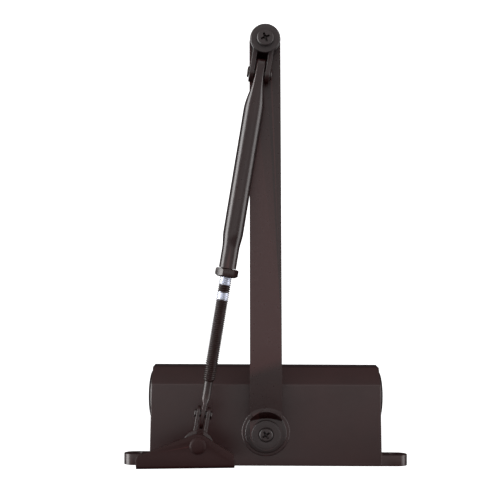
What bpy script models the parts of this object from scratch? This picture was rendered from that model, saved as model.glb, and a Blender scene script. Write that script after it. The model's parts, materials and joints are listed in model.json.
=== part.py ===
"""A surface-mounted door closer: rack-and-pinion body, flat main arm, tube forearm and shoe.

Frame: origin on the mounting face, in line with the pinion, at the body's mid-height. +Y points at the
door, +Z runs up the pinion, and +X points at the end with the speed valves. Lengths are in millimetres
and angles in degrees; the helpers turn them into Blender's metres and radians.
"""

import math

import bmesh
import bpy
from mathutils import Matrix, Vector

MM = 0.001
GAP = 0.3
WELD = 0.00001

# Body
BODY_LENGTH = 153.6
FRONT_LENGTH = 151.0
BODY_DEPTH = 64.5
HALF_HEIGHT = 22.0
CHAMFER_DEPTH = 10.9
CHAMFER_HEIGHT = 11.5
EAR_SPAN = 188.0
EAR_THICK = 7.3
EAR_HEIGHT = 15.0
EAR_CORNER = 7.0
EAR_FILLET = 2.2
EAR_INSET = 0.15
EAR_HOLE_X = 85.0
EAR_HOLE_Z = 14.5
EAR_HOLE_R = 3.25

# Cylinder, plugs and pinion bore
BORE_Y = -44.3
BORE_R = 17.0
PLUG_DEPTH = 9.0
PLUG_DOME = 2.9
PINION_Y = -22.4
PINION_BORE_R = 12.0
BOSS_R = 15.9
BOSS_RISE = 1.0

# Pinion and rack
MODULE = 1.5
TEETH = 12
PITCH_R = MODULE * TEETH / 2
TIP_R = PITCH_R + MODULE
ROOT_R = PITCH_R - 1.25 * MODULE
GEAR_HALF = 8.0
JOURNAL_R = 6.0
SQUARE_SIDE = 8.6
SQUARE_BASE_Z = 25.6
SQUARE_TOP_Z = 33.4
SQUARE_LOW_Z = 29.5
TAP_R = 2.7
TAP_DEPTH = 16.0
BEARING_Z = (13.9, 17.9)
SEAL_Z = (18.2, 20.1)
NUT_LOW_Z = 20.4
NUT_RISE = 2.0
CAP_DEPTH = 7.0
PISTON_LENGTH = 62.0
PISTON_REST_X = 13.5
RACK_WINDOW = 49.0
RACK_TEETH = 10
RACK_BACKLASH = 0.25
BORE_CLEARANCE = 0.05
SPRING_WIRE = 3.6
SPRING_R = 12.4
SPRING_TURNS = 5

# Speed valves
VALVE_Y = -16.0
VALVE_Z = 10.0
VALVE_R = 3.0
VALVE_LENGTH = 24.0

# Main arm
ARM_REACH = 253.4
ARM_TURN = 0.46
ARM_THICK = 6.0
ARM_HALF_AT_ELBOW = 10.0
ARM_HALF_AT_JOGGLE = 10.4
ARM_FLAT_TOP_Z = 44.0
ARM_EYE_TOP_Z = 34.0
ARM_EYE_HALF = 10.5
ARM_SCREW_HOLE_R = 2.7
BOW_START = 66.0
BOW_DROP = 1.6
JOGGLE_START = 15.0
JOGGLE_END = 10.1
WASHER_FACE_Z = 36.5
ARM_SCREW_DEPTH = 14.0

# Elbow
ELBOW_X = ARM_REACH * math.sin(math.radians(ARM_TURN))
ELBOW_Y = PINION_Y - ARM_REACH * math.cos(math.radians(ARM_TURN))
BARREL_R = 9.7
BARREL_TOP_Z = 62.2
BARREL_BORE_R = 5.0
ELBOW_WASHER_R = 9.0
ELBOW_WASHER_THICK = 2.5
ELBOW_HEAD_R = 5.25
ELBOW_HEAD_RISE = 3.7
FOREARM_Z = 55.0

# Forearm, measured along it from the elbow axis
FOREARM_TILT = 9.12
KNUCKLE_PIN_AT = 21.3
EAR_GAP = 7.2
EAR_PLATE = 2.9
EAR_RADIUS = 6.4
FLAT_THICK = 5.8
FLAT_HALF = 6.4
TUBE_R = 6.4
TUBE_FULL_AT = 45.0
NECK_START = 124.0
NECK_END = 134.0
NECK_R = 5.5
TUBE_END = 146.8
TUBE_BORE_R = 4.3
TUBE_BORE_AT = 84.0
NUT_HEIGHT = 5.4
NUT_FLATS = 13.0
ROD_R = 4.0
ROD_START = 108.0
SHANK_START = 220.0
SHANK_R = 2.7
BLADE_START = 231.0
BLADE_THICK = 3.2
BLADE_HALF = 4.6
BLADE_PAST_PIN = 5.0
CLEVIS_PIN_AT = 240.7
FOREARM_REACH = 259.8

# Shoe clevis and shoe
CLEVIS_GAP = 4.4
CLEVIS_PLATE = 2.4
CLEVIS_BASE_R = 9.6
CLEVIS_NOTCH_AT = 6.4
SHOE_TOP_Z = 66.5
SHOE_PLATE = 3.0
SHOE_RIGHT = 22.9
SHOE_LEFT = 39.1
SHOE_BACK = 14.3
SHOE_END_EDGE = 8.4
SHOE_PEAK_R = 7.4
FLANGE_THICK = 2.6
FLANGE_DROP = 15.4
SHOE_HOLE_R = 3.1
SHOE_HOLE_X = (-13.0, 29.0)
SHOE_RIVET_R = 5.2
SHOE_RIVET_RISE = 2.2
SHOE_TWIST = 1.0

FINE = 32
MEDIUM = 24
COARSE = 16

# Points of a quarter turn, short of its end
QUARTER_STEPS = [(math.sin(math.radians(a)), math.cos(math.radians(a))) for a in range(0, 90, 15)]

# A placement with its own Z on X, its own X on Y and its own Y on Z.
Z_ONTO_X = Matrix(((0, 0, 1, 0), (1, 0, 0, 0), (0, 1, 0, 0), (0, 0, 0, 1)))


def clear_scene():
    for obj in list(bpy.data.objects):
        bpy.data.objects.remove(obj, do_unlink=True)


def new_collection(name, hidden=False):
    collection = bpy.data.collections.new(name)
    bpy.context.scene.collection.children.link(collection)
    collection.hide_render = hidden
    return collection


def material(name, colour, roughness, metallic):
    made = bpy.data.materials.new(name)
    made.use_nodes = True
    shader = made.node_tree.nodes["Principled BSDF"]
    shader.inputs["Base Color"].default_value = (*colour, 1.0)
    shader.inputs["Roughness"].default_value = roughness
    shader.inputs["Metallic"].default_value = metallic
    return made


def frame_at(x, y, z, tilt=0.0, lay=None):
    """A placement: tilt turns it about Z, and lay then turns its own Z onto X or Y."""
    place = Matrix.Translation(Vector((x, y, z)) * MM) @ Matrix.Rotation(math.radians(tilt), 4, "Z")
    if lay == "X":
        return place @ Z_ONTO_X
    if lay == "Y":
        return place @ Matrix(((1, 0, 0, 0), (0, 0, -1, 0), (0, 1, 0, 0), (0, 0, 0, 1)))
    return place


def add_mesh(name, mesh, place, owner, look=None):
    obj = bpy.data.objects.new(name, mesh)
    obj.matrix_world = place
    owner.objects.link(obj)
    if look is not None:
        mesh.materials.clear()
        mesh.materials.append(look)
    return obj


def smooth(obj, angle=35):
    obj.data.shade_smooth()
    obj.data.set_sharp_from_angle(angle=math.radians(angle))


def turned(name, profile, place, owner, look=None, closed=False, steps=FINE):
    """A profile of (radius, height) turned about the placement's Z, its outer side from top to bottom."""
    mesh = bpy.data.meshes.new(name)
    count = len(profile)
    edges = [(i, i + 1) for i in range(count - 1)]
    if closed:
        edges.append((count - 1, 0))
    mesh.from_pydata([(r * MM, 0.0, z * MM) for r, z in profile], edges, [])
    obj = add_mesh(name, mesh, place, owner, look)
    screw = obj.modifiers.new("turn", "SCREW")
    screw.steps = steps
    screw.render_steps = steps
    screw.use_merge_vertices = True
    screw.merge_threshold = WELD
    screw.use_smooth_shade = True
    return obj


def rod(name, radius, low, high, place, owner, look=None, steps=FINE):
    profile = [(0, high), (radius, high), (radius, low), (0, low)]
    return turned(name, profile, place, owner, look, steps=steps)


def ring(name, outer, inner, low, high, place, owner, look=None, steps=FINE):
    profile = [(inner, high), (outer, high), (outer, low), (inner, low)]
    return turned(name, profile, place, owner, look, closed=True, steps=steps)


def to_mesh(obj):
    """Replaces a curve or a modified mesh by the plain mesh that it evaluates to, with its caps welded."""
    view = bpy.context.evaluated_depsgraph_get()
    mesh = bpy.data.meshes.new_from_object(obj.evaluated_get(view))
    work = bmesh.new()
    work.from_mesh(mesh)
    bmesh.ops.remove_doubles(work, verts=work.verts, dist=WELD)
    work.to_mesh(mesh)
    work.free()
    name = obj.name
    place = obj.matrix_world.copy()
    owner = obj.users_collection[0]
    bpy.data.objects.remove(obj, do_unlink=True)
    return add_mesh(name, mesh, place, owner)


def slab(name, outline, low, high, place, owner, look=None, hole=None):
    """A flat outline in the placement's XY, with a hole if given, from low to high along its Z."""
    curve = bpy.data.curves.new(name, "CURVE")
    curve.dimensions = "2D"
    curve.fill_mode = "BOTH"
    curve.extrude = (high - low) / 2 * MM
    for loop in (outline, hole or []):
        if not loop:
            continue
        spline = curve.splines.new("POLY")
        spline.points.add(len(loop) - 1)
        for point, (x, y) in zip(spline.points, loop):
            point.co = (x * MM, y * MM, 0.0, 1.0)
        spline.use_cyclic_u = True
    obj = bpy.data.objects.new(name, curve)
    obj.matrix_world = place @ Matrix.Translation((0, 0, (high + low) / 2 * MM))
    owner.objects.link(obj)
    made = to_mesh(obj)
    if look is not None:
        made.data.materials.clear()
        made.data.materials.append(look)
    return made


def box(name, low, high, place, owner, look=None):
    outline = [(low[0], low[1]), (high[0], low[1]), (high[0], high[1]), (low[0], high[1])]
    return slab(name, outline, low[2], high[2], place, owner, look)


def arc(x, y, radius, start, end, steps=8):
    """Points on an arc about (x, y), both ends included."""
    angles = [math.radians(start + (end - start) * i / steps) for i in range(steps + 1)]
    return [(x + radius * math.cos(a), y + radius * math.sin(a)) for a in angles]


def polygon(radius, sides, start=0.0):
    return arc(0, 0, radius, start, start + 360 * (sides - 1) / sides, sides - 1)


def square(half):
    return [(-half, -half), (half, -half), (half, half), (-half, half)]


def boolean(obj, tool, operation="DIFFERENCE"):
    step = obj.modifiers.new(operation.lower(), "BOOLEAN")
    step.operation = operation
    step.object = tool
    step.solver = "EXACT"


def bevel(obj, width, segments=2, angle=40):
    step = obj.modifiers.new("bevel", "BEVEL")
    step.width = width * MM
    step.segments = segments
    step.limit_method = "ANGLE"
    step.angle_limit = math.radians(angle)


def cut(obj, tools):
    for tool in tools:
        tool.hide_render = True
        tool.display_type = "WIRE"
        boolean(obj, tool)


def join(obj, tools):
    for tool in tools:
        tool.hide_render = True
        tool.display_type = "WIRE"
        boolean(obj, tool, "UNION")


# ---------------------------------------------------------------- body


def taper_ends(obj):
    """Draws the ends in towards the front, where the casting is shorter."""
    draw = (BODY_LENGTH - FRONT_LENGTH) / BODY_LENGTH
    for vertex in obj.data.vertices:
        world = obj.matrix_world @ vertex.co
        world.x *= 1 - draw * (-world.y) / (BODY_DEPTH * MM)
        vertex.co = obj.matrix_world.inverted() @ world


def ear_outline(side):
    """One screw ear in XZ: flush with the pinion face above, round at its outer corners."""
    inner = BODY_LENGTH / 2 - 4
    outer = EAR_SPAN / 2
    top = HALF_HEIGHT - EAR_INSET
    low = HALF_HEIGHT - EAR_HEIGHT
    points = [(inner, low)]
    points += arc(outer - EAR_CORNER, low + EAR_CORNER, EAR_CORNER, -90, 0, 5)
    points += arc(outer - EAR_CORNER, top - EAR_CORNER, EAR_CORNER, 0, 90, 5)
    points.append((inner, top))
    return [(side * x, z) for x, z in points]


def fillet_outline(side):
    """The web that rounds the corner between an ear and the body's end, in XY."""
    end = BODY_LENGTH / 2 - 0.35
    front = 0.1 - EAR_THICK
    turn = arc(end + EAR_FILLET, front - EAR_FILLET, EAR_FILLET, 90, 180, 4)
    points = turn + [(end - 2, front - EAR_FILLET), (end - 2, front + 2), (end + EAR_FILLET, front + 2)]
    return [(side * x, y) for x, y in points]


def housing(parts, tools, look):
    half = HALF_HEIGHT
    front = -BODY_DEPTH
    section = [(0, -half), (0, half)]
    section += [(front + CHAMFER_DEPTH, half), (front, half - CHAMFER_HEIGHT)]
    section += [(front, CHAMFER_HEIGHT - half), (front + CHAMFER_DEPTH, -half)]
    section.reverse()
    end = BODY_LENGTH / 2
    body = slab("housing", section, -end, end, frame_at(0, 0, 0, lay="X"), parts, look)
    taper_ends(body)
    bevel(body, 0.6, 1)
    ears = []
    for side, label in ((1, "left"), (-1, "right")):
        flat = frame_at(0, 0, 0, lay="Y")
        hole = arc(side * EAR_HOLE_X, EAR_HOLE_Z, EAR_HOLE_R, 0, 345, 23)
        outline = ear_outline(side)
        ears.append(slab(f"{label}_ear_body", outline, EAR_INSET, EAR_THICK, flat, tools, hole=hole))
        low = HALF_HEIGHT - EAR_HEIGHT + 0.4
        web = fillet_outline(side)
        ears.append(slab(f"{label}_ear_web", web, low, half - 0.5, frame_at(0, 0, 0), tools))
    bosses = []
    for label, low, high in (("upper", half - 2, half + BOSS_RISE), ("lower", -half - BOSS_RISE, 2 - half)):
        bosses.append(rod(f"{label}_boss", BOSS_R, low, high, frame_at(0, PINION_Y, 0), tools))
    join(body, ears + bosses)
    cutters = []
    for label, z in (("sweep", VALVE_Z), ("latch", -VALVE_Z)):
        well = frame_at(0, VALVE_Y, z, lay="X")
        cutters.append(rod(f"{label}_well", VALVE_R + GAP, 48, 90, well, tools, steps=COARSE))
        for at, name in ((50.5, "inlet"), (58.0, "outlet")):
            port = frame_at(at, 0, z, lay="Y")
            cutters.append(rod(f"{label}_{name}", 1.2, -VALVE_Y, -BORE_Y - 10, port, tools, steps=12))
    cutters.append(rod("cylinder_bore", BORE_R, -90, 90, frame_at(0, BORE_Y, 0, lay="X"), tools))
    cutters.append(rod("pinion_bore", PINION_BORE_R, -30, 30, frame_at(0, PINION_Y, 0), tools))
    cut(body, cutters)
    return body


def end_plugs(parts, look, seal_look):
    """Domed plugs in both ends of the cylinder, each with an O-ring in its groove."""
    groove = 2.2
    crown = BODY_LENGTH / 2 - 0.9
    base = crown - PLUG_DEPTH
    r = BORE_R - GAP
    dome = [(r * x, crown + PLUG_DOME * y) for x, y in QUARTER_STEPS]
    profile = dome + [(r, crown), (r, base + 5.2), (r - groove, base + 5.2), (r - groove, base + 2.4)]
    profile += [(r, base + 2.4), (r, base), (0, base)]
    mid = base + 3.8
    for label, turn in (("left", 0), ("right", 180)):
        place = frame_at(0, BORE_Y, 0, tilt=turn, lay="X")
        smooth(to_mesh_keep(turned(f"end_plug_{label}", profile, place, parts, look)))
        torus_ring(f"plug_seal_{label}", r - 0.9, 0.75, mid, place, parts, seal_look)


def to_mesh_keep(obj):
    """As to_mesh, keeping the material."""
    look = obj.data.materials[0]
    made = to_mesh(obj)
    made.data.materials.clear()
    made.data.materials.append(look)
    return made


def torus_ring(name, major, minor, height, place, owner, look):
    """An O-ring: a circle of six sides turned about the axis."""
    circle = [(major + minor * math.cos(a), height - minor * math.sin(a)) for a in angles_of(6)]
    return turned(name, circle, place, owner, look, closed=True, steps=COARSE)


def angles_of(count):
    return [2 * math.pi * i / count for i in range(count)]


def pinion_supports(parts, looks):
    """Bearing, lip seal and nut at each end of the pinion, and the dust cap over its lower end."""
    r = PINION_BORE_R - GAP
    shaft = JOURNAL_R + 0.3
    top = HALF_HEIGHT + BOSS_RISE
    for label, flip in (("upper", 1), ("lower", -1)):
        place = frame_at(0, PINION_Y, 0) @ Matrix.Rotation(0 if flip > 0 else math.pi, 4, "X")
        ring(f"{label}_bearing", r, JOURNAL_R + 0.05, *BEARING_Z, place, parts, looks["steel"])
        ring(f"{label}_pinion_seal", r, shaft, *SEAL_Z, place, parts, looks["rubber"], steps=MEDIUM)
        face = top + NUT_RISE
        nut = [(shaft, face), (12.9, face), (13.7, face - 0.8), (13.7, top + GAP), (r, top + GAP)]
        nut += [(r, NUT_LOW_Z), (shaft, NUT_LOW_Z)]
        turned(f"{label}_bearing_nut", nut, place, parts, looks["paint"], closed=True)
    rim = -(top + NUT_RISE + GAP)
    end = rim - CAP_DEPTH
    shell = [(0, end + 1.5), (11.0, end + 1.5), (11.0, rim), (12.8, rim)]
    shell += [(12.8, end + 1.5), (11.3, end), (0, end)]
    turned("pinion_cap", shell, frame_at(0, PINION_Y, 0), parts, looks["plastic"])


# ---------------------------------------------------------------- gear train


def gear_outline():
    """A twelve-tooth spur outline: straight flanks from root to tip, with one tooth centred on -Y."""
    points = []
    flank = ((-10.5, ROOT_R), (-7.0, PITCH_R), (-3.2, TIP_R), (3.2, TIP_R), (7.0, PITCH_R), (10.5, ROOT_R))
    for tooth in range(TEETH):
        centre = -90 + 360 * tooth / TEETH
        for angle, radius in flank:
            a = math.radians(centre + angle)
            points.append((radius * math.cos(a), radius * math.sin(a)))
    return points


def pinion_shaft(parts, tools, look):
    place = frame_at(0, PINION_Y, 0)
    gear = slab("pinion_shaft", gear_outline(), -GEAR_HALF, GEAR_HALF, place, parts, look)
    journals = rod("pinion_journals", JOURNAL_R, -SQUARE_BASE_Z, SQUARE_BASE_Z, place, tools, steps=MEDIUM)
    turn = place @ frame_at(0, 0, 0, tilt=ARM_TURN)
    ends = slab("pinion_squares", square(SQUARE_SIDE / 2 - 0.2), -SQUARE_TOP_Z, SQUARE_TOP_Z, turn, tools)
    trim = rod("pinion_lower_trim", 20, -50, -SQUARE_LOW_Z, place, tools, steps=COARSE)
    tap = rod("pinion_tap", TAP_R, SQUARE_TOP_Z - TAP_DEPTH, SQUARE_TOP_Z + 5, place, tools, steps=COARSE)
    join(gear, [journals, ends])
    cut(gear, [trim, tap])


def rack_cutter_outline(centre):
    """The space the rack leaves open in the piston's side: a long flat, with a gap for each pinion tooth."""
    pitch = math.pi * MODULE
    face = PINION_Y - PITCH_R + MODULE
    root = PINION_Y - PITCH_R - 1.25 * MODULE
    line = PINION_Y - PITCH_R
    half = RACK_WINDOW / 2
    points = [(centre + half, face), (centre + half, 0), (centre - half, 0), (centre - half, face)]
    for index in range(-2, RACK_TEETH - 2):
        middle = index * pitch
        wide = pitch / 4 + RACK_BACKLASH / 2
        slope = math.tan(math.radians(20))
        points.append((middle - wide - MODULE * slope, face))
        points.append((middle - wide, line))
        points.append((middle - wide + 1.25 * MODULE * slope, root))
        points.append((middle + wide - 1.25 * MODULE * slope, root))
        points.append((middle + wide, line))
        points.append((middle + wide + MODULE * slope, face))
    return points


def piston(parts, tools, looks):
    x = PISTON_REST_X
    half = PISTON_LENGTH / 2
    body_r = BORE_R - BORE_CLEARANCE
    place = frame_at(x, BORE_Y, 0, lay="X")
    profile = [(0, half), (body_r - 1, half), (body_r, half - 1), (body_r, 1 - half), (body_r - 1, -half)]
    profile += [(9.5, -half), (9.5, 6 - half), (0, 6 - half)]
    body = turned("piston", profile, place, parts, looks["steel"])
    window = slab("rack_window", rack_cutter_outline(x), -20, 20, frame_at(0, 0, 0), tools)
    pocket = rod("valve_pocket", 4.2, half - 9, half + 2, place, tools, steps=COARSE)
    passage = rod("valve_passage", 1.5, -half, half, place, tools, steps=12)
    cut(body, [window, pocket, passage])
    ball = bpy.data.meshes.new("check_valve_ball")
    work = bmesh.new()
    bmesh.ops.create_uvsphere(work, u_segments=12, v_segments=8, radius=2.5 * MM)
    work.to_mesh(ball)
    work.free()
    add_mesh("check_valve_ball", ball, frame_at(x + half - 6.2, BORE_Y, 0), parts, looks["chrome"])
    steel = looks["steel"]
    ring("check_valve_retainer", 3.9, 1.4, half - 3.2, half - 0.4, place, parts, steel, steps=COARSE)


def closing_spring(parts, look):
    """A compression spring along the cylinder, from the right plug to the piston, with closed end turns."""
    left = PISTON_REST_X - PISTON_LENGTH / 2 - SPRING_WIRE / 2 - 0.4
    right = -(BODY_LENGTH / 2 - 0.9 - PLUG_DEPTH) + SPRING_WIRE / 2 + 0.4
    per_turn = 12
    count = SPRING_TURNS * per_turn
    curve = bpy.data.curves.new("closing_spring", "CURVE")
    curve.dimensions = "3D"
    curve.bevel_depth = SPRING_WIRE / 2 * MM
    curve.bevel_resolution = 1
    curve.use_fill_caps = True
    spline = curve.splines.new("POLY")
    spline.points.add(count)
    for index, point in enumerate(spline.points):
        share = index / count
        angle = 2 * math.pi * SPRING_TURNS * share
        along = right + (left - right) * share
        point.co = (along * MM, SPRING_R * math.cos(angle) * MM, SPRING_R * math.sin(angle) * MM, 1.0)
    obj = bpy.data.objects.new("closing_spring", curve)
    obj.matrix_world = frame_at(0, BORE_Y, 0)
    parts.objects.link(obj)
    curve.materials.append(look)


def speed_valves(parts, tools, looks):
    """Slotted needles in the left end, each with an O-ring under its head."""
    head = BODY_LENGTH / 2 - 2.2
    tail = head - VALVE_LENGTH
    r = VALVE_R
    profile = [(0, head), (r - 0.3, head), (r, head - 0.3), (r, head - 5)]
    profile += [(1.7, head - 5), (1.7, head - 7.4)]
    profile += [(r, head - 7.4), (r, tail + 6), (0.4, tail), (0, tail)]
    for label, z in (("sweep", VALVE_Z), ("latch", -VALVE_Z)):
        place = frame_at(0, VALVE_Y, z, lay="X")
        needle = turned(f"{label}_valve_screw", profile, place, parts, looks["zinc"], steps=COARSE)
        slot_low = (-VALVE_R - 1, -0.5, head - 1.3)
        slot_high = (VALVE_R + 1, 0.5, head + 1)
        cut(needle, [box(f"{label}_slot", slot_low, slot_high, place, tools)])
        torus_ring(f"{label}_valve_seal", 2.5, 0.45, head - 6.2, place, parts, looks["rubber"])


# ---------------------------------------------------------------- main arm


def arm_outline():
    """The arm from above: a round eye over the pinion, straight edges, and a round elbow end."""
    elbow = arc(0, -ARM_REACH, ARM_HALF_AT_ELBOW, 180, 360, 24)
    eye = arc(0, 0, ARM_EYE_HALF, 8, 172, 24)
    return eye + [(-ARM_HALF_AT_JOGGLE, -JOGGLE_END)] + elbow + [(ARM_HALF_AT_JOGGLE, -JOGGLE_END)]


def arm_side_outline():
    """The arm from the side as (distance from the pinion, height): eye, joggle, shallow bow, flat."""
    eye = ARM_EYE_TOP_Z
    flat = ARM_FLAT_TOP_Z
    far = ARM_REACH + 20
    bow = [(BOW_START, flat), (BOW_START - 24, flat - 0.43), (BOW_START - 46.7, flat - BOW_DROP)]
    upper = [(far, flat)] + bow + [(JOGGLE_START, flat - BOW_DROP - 0.2), (JOGGLE_END, eye), (-20, eye)]
    under_bow = [(x, z - ARM_THICK) for x, z in bow]
    lower = [(-20, eye - ARM_THICK), (JOGGLE_END + 2.4, eye - ARM_THICK)]
    lower.append((JOGGLE_START + 1.7, flat - BOW_DROP - 6.7))
    return upper + lower + under_bow[::-1] + [(far, flat - ARM_THICK)]


def main_arm(parts, tools, look):
    place = frame_at(0, PINION_Y, 0, tilt=ARM_TURN)
    arm = slab("main_arm", arm_outline(), 20, 60, place, parts, look)
    side = [(-x, z) for x, z in arm_side_outline()]
    profile = slab("arm_profile", side, -30, 30, place @ frame_at(0, 0, 0, lay="X"), tools)
    profile.hide_render = True
    profile.display_type = "WIRE"
    boolean(arm, profile, "INTERSECT")
    square_hole = slab("arm_square_hole", square(SQUARE_SIDE / 2 + 0.1), 20, 40, place, tools)
    over_elbow = frame_at(ELBOW_X, ELBOW_Y, 0)
    stud = rod("arm_stud_hole", ARM_SCREW_HOLE_R, 30, 50, over_elbow, tools, steps=COARSE)
    cut(arm, [square_hole, stud])
    bevel(arm, 0.5, 1, 50)


def recessed_head(name, radius, rise, shank_r, low, high, arms, place, parts, tools, look, turn):
    """A pan-head screw along Z with a cross recess; high is the head's bearing face."""
    crown = 0.55 * radius
    profile = [(0, high + rise), (crown, high + rise), (0.86 * radius, high + rise * 0.8)]
    profile += [(radius, high + rise * 0.45), (radius, high), (shank_r, high)]
    profile += [(shank_r, low + 0.5), (shank_r - 0.5, low), (0, low)]
    screw = turned(name, profile, place, parts, look, steps=MEDIUM)
    half = 0.6
    cross = []
    for index, angle in enumerate((turn, turn + 90)):
        bar_place = place @ Matrix.Rotation(math.radians(angle), 4, "Z")
        low_corner = (-arms - 0.02 * index, -half, high + rise - 1.8 - 0.05 * index)
        high_corner = (arms + 0.02 * index, half, high + rise + 1)
        cross.append(box(f"{name}_cross_{index}", low_corner, high_corner, bar_place, tools))
    cut(screw, cross)


def arm_fastening(parts, tools, looks):
    """The cupped washer and screw that hold the arm on the pinion."""
    place = frame_at(0, PINION_Y, 0)
    low = ARM_EYE_TOP_Z + GAP
    face = WASHER_FACE_Z
    floor = low + 0.8
    washer = [(2.9, floor), (5.1, floor), (5.1, face), (8.7, face)]
    washer += [(9.4, face - 0.7), (9.4, low), (2.9, low)]
    turned("arm_washer", washer, place, parts, looks["paint"], closed=True)
    tip = SQUARE_TOP_Z - ARM_SCREW_DEPTH
    seat = floor + GAP
    recessed_head("arm_screw", 4.4, 2.1, 2.4, tip, seat, 2.4, place, parts, tools, looks["paint"], 32)


# ---------------------------------------------------------------- elbow


def lug_outline(radius, reach, root):
    """A lug from the side, with X along it: straight from its root to a round end about its pin."""
    return arc(reach, 0, radius, -90, 90, 12) + [(root, radius), (root, -radius)]


def elbow(parts, tools, looks):
    """The knuckle's barrel and two ears, its bush, the washer and screw above, and the cross pin."""
    place = frame_at(ELBOW_X, ELBOW_Y, 0)
    low = ARM_FLAT_TOP_Z + GAP
    high = BARREL_TOP_Z
    r = BARREL_R
    profile = [(0, high), (r - 0.5, high), (r, high - 0.5), (r, low + 0.5), (r - 0.5, low), (0, low)]
    barrel = turned("elbow_knuckle", profile, place, parts, looks["paint"])
    along = forearm_place()
    lugs = []
    for side in (-1, 1):
        near = side * EAR_GAP / 2
        far = side * (EAR_GAP / 2 + EAR_PLATE)
        outline = lug_outline(EAR_RADIUS, KNUCKLE_PIN_AT, 5.6)
        flat = along @ side_view(FOREARM_Z)
        lugs.append(slab(f"knuckle_lug_{side}", outline, min(near, far), max(near, far), flat, tools))
    join(barrel, lugs)
    pin = along @ cross_axis(KNUCKLE_PIN_AT, FOREARM_Z)
    bore = rod("knuckle_bore", BARREL_BORE_R, low - 5, high + 5, place, tools, steps=MEDIUM)
    cut(barrel, [bore, rod("knuckle_pin_hole", 2.6, -12, 12, pin, tools, steps=COARSE)])
    bush_top = BARREL_TOP_Z + 0.1
    outer = BARREL_BORE_R - 0.05
    ring("elbow_bush", outer, 3.35, low, bush_top, place, parts, looks["brass"], steps=MEDIUM)
    seat = bush_top + GAP
    face = seat + ELBOW_WASHER_THICK
    r = ELBOW_WASHER_R
    washer = [(3.3, face), (r - 0.6, face), (r, face - 0.6), (r, seat), (3.3, seat)]
    turned("elbow_washer", washer, place, parts, looks["paint"], closed=True)
    tip = ARM_FLAT_TOP_Z - ARM_THICK + 0.5
    sizes = (ELBOW_HEAD_R, ELBOW_HEAD_RISE, 2.4, tip, face + GAP, 2.9)
    recessed_head("elbow_screw", *sizes, place, parts, tools, looks["paint"], 22)
    rivet_pin("knuckle_pin", 2.55, EAR_GAP / 2 + EAR_PLATE, 3.6, 1.2, pin, parts, looks["paint"])


def side_view(height):
    """Turns an outline's XY into (along the forearm, height), with its Z across the forearm."""
    return Matrix.Translation((0, 0, height * MM)) @ Z_ONTO_X


def forearm_lathe(height):
    """Turns a profile's Z into distance along the forearm, which leaves its base along +Y."""
    turn = Matrix(((1, 0, 0, 0), (0, 0, 1, 0), (0, -1, 0, 0), (0, 0, 0, 1)))
    return Matrix.Translation((0, 0, height * MM)) @ turn


def cross_axis(along, height):
    """A pin's place across the forearm: its Z lies along the forearm's X."""
    return Matrix.Translation((0, along * MM, height * MM)) @ Z_ONTO_X


def rivet_pin(name, radius, half_grip, head_r, head_rise, place, owner, look):
    """A rivet across two ears, with a low round head at each end."""
    edge = half_grip + GAP
    top = edge + head_rise
    profile = [(0, top), (0.6 * head_r, top), (head_r, edge + 0.3), (head_r, edge), (radius, edge)]
    profile += [(r, -z) for r, z in reversed(profile)]
    return turned(name, profile, place, owner, look, steps=COARSE)


# ---------------------------------------------------------------- forearm


def forearm_place():
    """The forearm's own frame: its base on the elbow axis and +Y along it, tilted towards +X."""
    return frame_at(ELBOW_X, ELBOW_Y, 0, tilt=-FOREARM_TILT)


def round_section(along, half_width, half_height, count=24):
    """A ring of points across the forearm: an ellipse squared off as it gets flatter."""
    flatness = 1 - min(half_width, half_height) / max(half_width, half_height)
    power = 1 / (1 + 2.2 * flatness)
    ring_points = []
    for angle in angles_of(count):
        c = math.cos(angle)
        s = math.sin(angle)
        x = math.copysign(abs(c) ** power, c) * half_width
        z = math.copysign(abs(s) ** power, s) * half_height
        ring_points.append(Vector((x * MM, along * MM, (FOREARM_Z + z) * MM)))
    return ring_points


def loft(name, sections, place, owner, look):
    """A closed skin through rings of points that all have the same count."""
    work = bmesh.new()
    rings = [[work.verts.new(p) for p in section] for section in sections]
    for first, second in zip(rings, rings[1:]):
        for i in range(len(first)):
            j = (i + 1) % len(first)
            work.faces.new((first[i], first[j], second[j], second[i]))
    work.faces.new(rings[0][::-1])
    work.faces.new(rings[-1])
    bmesh.ops.recalc_face_normals(work, faces=work.faces)
    mesh = bpy.data.meshes.new(name)
    work.to_mesh(mesh)
    work.free()
    return add_mesh(name, mesh, place, owner, look)


def forearm_tube(parts, tools, look):
    """A round tube, pressed flat into an eye at the elbow and drawn down to a neck at its other end."""
    place = forearm_place()
    flat = FLAT_THICK / 2
    stations = [(KNUCKLE_PIN_AT - 8.5, flat - 0.6, 3.6), (KNUCKLE_PIN_AT - 7, flat, 5.2)]
    stations += [(KNUCKLE_PIN_AT - 3, flat, FLAT_HALF), (KNUCKLE_PIN_AT + 9, flat, FLAT_HALF + 0.2)]
    steps = 6
    for index in range(1, steps + 1):
        share = index / steps
        ease = share * share * (3 - 2 * share)
        at = KNUCKLE_PIN_AT + 9 + (TUBE_FULL_AT - KNUCKLE_PIN_AT - 9) * share
        wide = flat + (TUBE_R - flat) * ease
        tall = FLAT_HALF + 0.2 + (TUBE_R - FLAT_HALF - 0.2) * ease
        stations.append((at, wide, tall))
    stations.append((NECK_START, TUBE_R, TUBE_R))
    middle = (NECK_START + NECK_END) / 2
    stations += [(middle, (TUBE_R + NECK_R) / 2, (TUBE_R + NECK_R) / 2), (NECK_END, NECK_R, NECK_R)]
    stations.append((TUBE_END, NECK_R, NECK_R))
    tube = loft("forearm_tube", [round_section(*s) for s in stations], place, parts, look)
    lathe = place @ forearm_lathe(FOREARM_Z)
    bore = rod("tube_bore", TUBE_BORE_R, TUBE_BORE_AT, TUBE_END + 10, lathe, tools, steps=24)
    pin = place @ cross_axis(KNUCKLE_PIN_AT, FOREARM_Z)
    eye = rod("tube_eye", 2.6, -12, 12, pin, tools, steps=COARSE)
    cut(tube, [bore, eye])


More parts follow.
